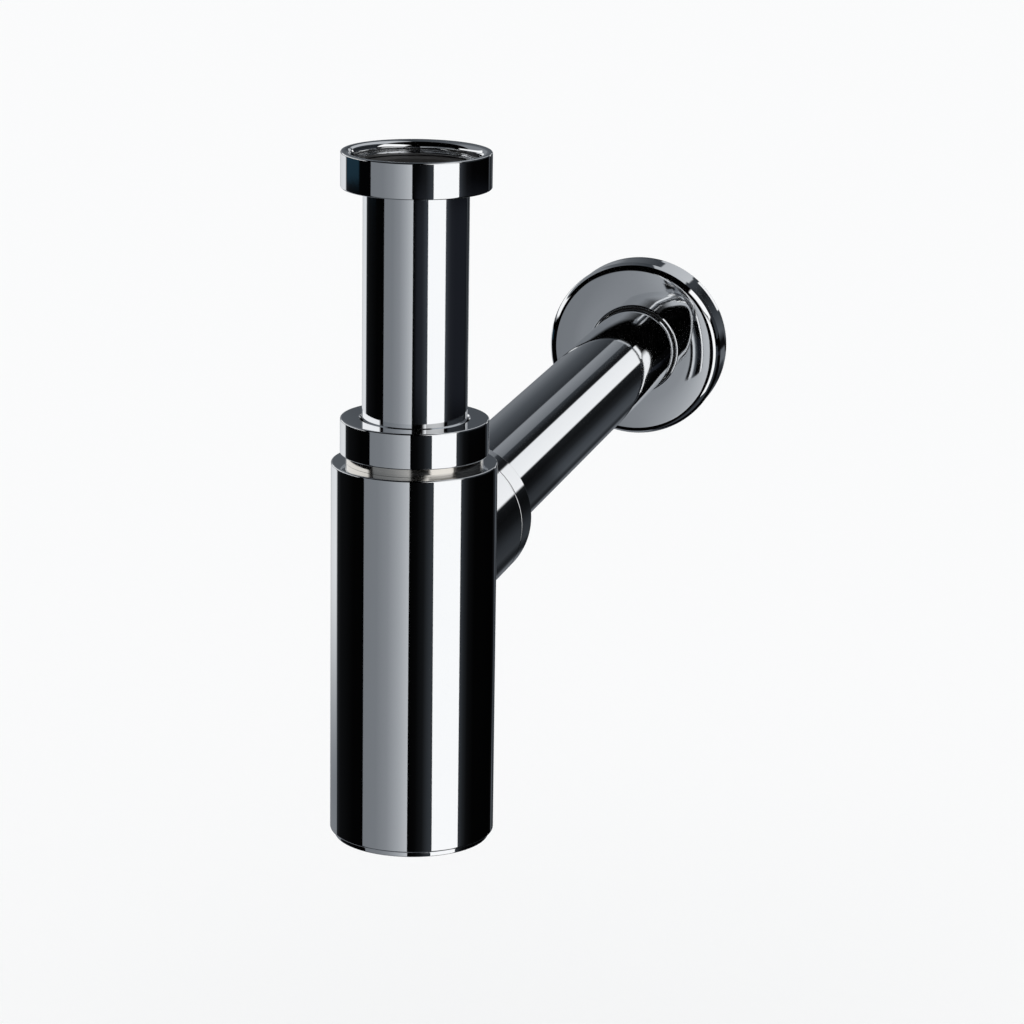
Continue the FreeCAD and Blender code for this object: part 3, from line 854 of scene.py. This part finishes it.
def mirroredStudio(tree):
    # colour of the studio by the direction of the ray, as the chrome mirrors it
    split = tree.nodes.new("ShaderNodeSeparateXYZ")
    tree.links.new(tree.nodes.new("ShaderNodeTexCoord").outputs["Generated"], split.inputs[0])
    x, y, z = split.outputs
    front, right = (calc(tree, "ADD", calc(tree, "MULTIPLY", x, float(way[0])),
                         calc(tree, "MULTIPLY", y, float(way[1])))
                    for way in (heading(0), heading(90)))
    azimuth, roll = calc(tree, "ARCTAN2", right, front), calc(tree, "ARCTAN2", z, x)
    square = calc(tree, "MULTIPLY", y, y)
    places = dict(turn=calc(tree, "DEGREES", azimuth), roll=calc(tree, "DEGREES", roll), along=y,
                  height=calc(tree, "DEGREES", calc(tree, "ARCSINE", z)))

    below = fadeOut(tree, places["height"], *areas["horizon"]["height"])
    seen = mixColour(tree, below, black, angleRamp(tree, azimuth, panels["around"]))

    area = areas["dim"]
    dim = calc(tree, "MULTIPLY", fadeOut(tree, places["turn"], *area["turn"]),
               fadeOut(tree, places["height"], *area["height"]))
    seen = mixColour(tree, dim, seen, shownGrey(area["level"]))
    for name, blend in (("cool", "MIX"), ("haze", "ADD")):
        share = bothWindows(tree, places, areas[name], "turn", "height")
        seen = mixColour(tree, share, seen, areas[name]["colour"], blend)

    area = areas["strip"]
    lowEdge = calc(tree, "SUBTRACT", area["low"], calc(tree, "MULTIPLY", square, area["bend"]))
    overEdge = calc(tree, "SUBTRACT", places["roll"], lowEdge)
    strip = calc(tree, "MULTIPLY", fadeIn(tree, overEdge, -area["soft"], area["soft"]),
                 fadeOut(tree, places["roll"], *area["roll"]))
    strip = calc(tree, "MULTIPLY", strip, fadeIn(tree, y, *area["along"]))
    seen = mixColour(tree, strip, seen, shownGrey(area["level"]))

    squeeze = panels["besideSqueeze"]
    across = calc(tree, "MULTIPLY_ADD", square, -squeeze["curve"], 1.0)
    across = calc(tree, "SQRT", calc(tree, "MAXIMUM", across, 0.0))
    above = calc(tree, "SUBTRACT", roll, math.radians(squeeze["above"]))
    above = calc(tree, "MULTIPLY", across, calc(tree, "MAXIMUM", above, 0.0))
    drawn = calc(tree, "MULTIPLY_ADD", above, squeeze["share"], roll)
    area = areas["back"]
    ceiling = calc(tree, "MULTIPLY", fadeIn(tree, y, *area["ceilingAlong"]),
                   fadeIn(tree, z, *area["ceilingUp"]))
    back = calc(tree, "MAXIMUM", fadeIn(tree, y, *area["along"]), ceiling)
    seen = mixColour(tree, back, seen, angleRamp(tree, drawn, panels["beside"]))

    for name, ways in (("rim", ("turn", "height")), ("far", ("roll", "along"))):
        share = bothWindows(tree, places, areas[name], *ways)
        seen = mixColour(tree, share, seen, shownGrey(areas[name]["level"]))
    tube = window(tree, y, *areas["tube"]["along"])
    seen = mixColour(tree, tube, seen, angleRamp(tree, roll, panels["behind"]))
    near = bothWindows(tree, places, areas["near"], "along", "roll")
    return mixColour(tree, calc(tree, "MULTIPLY", near, areas["near"]["share"]), seen, black)


def studioWorld():
    world = bpy.data.worlds.new("studio")
    scene.world = world
    world.use_nodes = True
    tree = world.node_tree
    tree.nodes.clear()
    mirrored = tree.nodes.new("ShaderNodeLightPath").outputs["Is Glossy Ray"]
    light = tree.nodes.new("ShaderNodeBackground")
    out = tree.nodes.new("ShaderNodeOutputWorld")
    colour = mixColour(tree, mirrored, white, mirroredStudio(tree))
    tree.links.new(colour, light.inputs["Color"])
    tree.links.new(light.outputs[0], out.inputs["Surface"])


def flatSheet(name, corners, material):
    mesh = bpy.data.meshes.new(name)
    mesh.from_pydata(np.array(corners, float), [], [(0, 1, 2, 3)])
    mesh.materials.append(material)
    sheet = bpy.data.objects.new(name, mesh)
    scene.collection.objects.link(sheet)
    return sheet


def cardGlow(name, stops, topFade):
    # a glow by (place from left to right, brightness) that fades towards the card's top
    material = bpy.data.materials.new(name)
    material.use_nodes = True
    tree = material.node_tree
    tree.nodes.clear()
    split = tree.nodes.new("ShaderNodeSeparateXYZ")
    tree.links.new(tree.nodes.new("ShaderNodeTexCoord").outputs["UV"], split.inputs[0])
    glow = tree.nodes.new("ShaderNodeEmission")
    out = tree.nodes.new("ShaderNodeOutputMaterial")
    tree.links.new(rampOf(tree, split.outputs[0], stops), glow.inputs["Color"])
    tree.links.new(fadeOut(tree, split.outputs[1], *topFade), glow.inputs["Strength"])
    tree.links.new(glow.outputs[0], out.inputs["Surface"])
    return material


def nearCard(name):
    # an upright sheet seen only in the chrome; the ray that leaves a cylinder's side at each
    # azimuth is followed to the sheet's line, which places its ends and its brightness stops
    c = cards[name]
    facing, along = heading(c["middle"]), heading(c["middle"] + 90)

    def meets(degrees):
        start, ray = c["cylinder"] * heading(degrees / 2), heading(degrees)
        return (start + (c["away"] - start @ facing) / (ray @ facing) * ray) @ along

    def corner(degrees, height):
        return (*(c["away"] * facing + meets(degrees) * along), height)

    first, last = c["grey"][0][0], c["grey"][-1][0]
    left, width = meets(first), meets(last) - meets(first)
    stops = [((meets(degrees) - left) / width, level) for degrees, level in c["grey"]]
    corners = [corner(first + c["sway"][0], c["low"]), corner(last + c["sway"][1], c["low"]),
               corner(last, c["high"]), corner(first, c["high"])]
    card = flatSheet(name, corners, cardGlow(name, stops, c["topFade"]))
    card.data.uv_layers.new(name="UVMap").data.foreach_set("uv", [0, 0, 1, 0, 1, 1, 0, 1])
    card.visible_camera = card.visible_diffuse = False
    card.visible_shadow = card.visible_transmission = False


def paleFloor():
    # one wide flat sheet under the part, left out of the mirror images
    low, half = cadBox[0][2] - floorSheet["drop"], floorSheet["half"]
    paper = bpy.data.materials.new("floorPaper")
    paper.use_nodes = True
    shader = paper.node_tree.nodes["Principled BSDF"]
    shader.inputs["Base Color"].default_value = floorSheet["colour"]
    shader.inputs["Roughness"].default_value = 1.0
    shader.inputs["Specular IOR Level"].default_value = 0.0
    floor = flatSheet("floor", [(-half, -half, low), (half, -half, low), (half, half, low),
                                (-half, half, low)], paper)
    floor.visible_glossy = False


scene.view_settings.view_transform = "Standard"
studioWorld()
nearCard("greyCard")
nearCard("keyCard")
paleFloor()
print("studio set")
